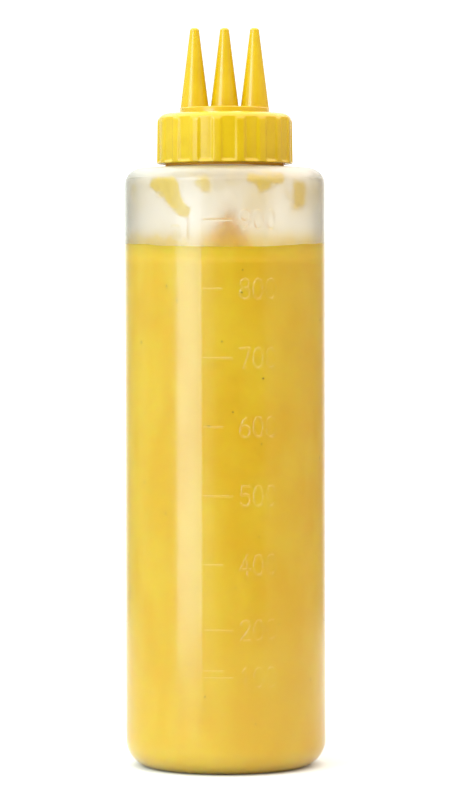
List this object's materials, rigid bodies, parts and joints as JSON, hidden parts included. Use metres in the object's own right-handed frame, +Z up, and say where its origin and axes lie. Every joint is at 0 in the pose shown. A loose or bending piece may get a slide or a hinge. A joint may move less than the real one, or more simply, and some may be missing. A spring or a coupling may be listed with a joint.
{
  "type": "triple-tip squeeze bottle",
  "caption": "Translucent squeeze bottle of yellow sauce with a ribbed screw cap that carries a row of cone-shaped tips.",
  "frame": {"origin": "middle of the flat ring that the bottle stands on", "axes": "+Z up along the bottle's axis, +X along the row of tips, -Y the front, where the volume scale faces"},
  "size_m": [0.075, 0.075, 0.277],
  "materials": {
    "bottle": "translucent soft polyethylene, blow-moulded, satin",
    "cap": "yellow injection-moulded polypropylene, semi-gloss",
    "sauce": "smooth wet mustard sauce with fine herb specks"
  },
  "bodies": {
    "root": {"bottle": "bottle", "cap": "cap", "sauce": "sauce"}
  },
  "joints": []
}
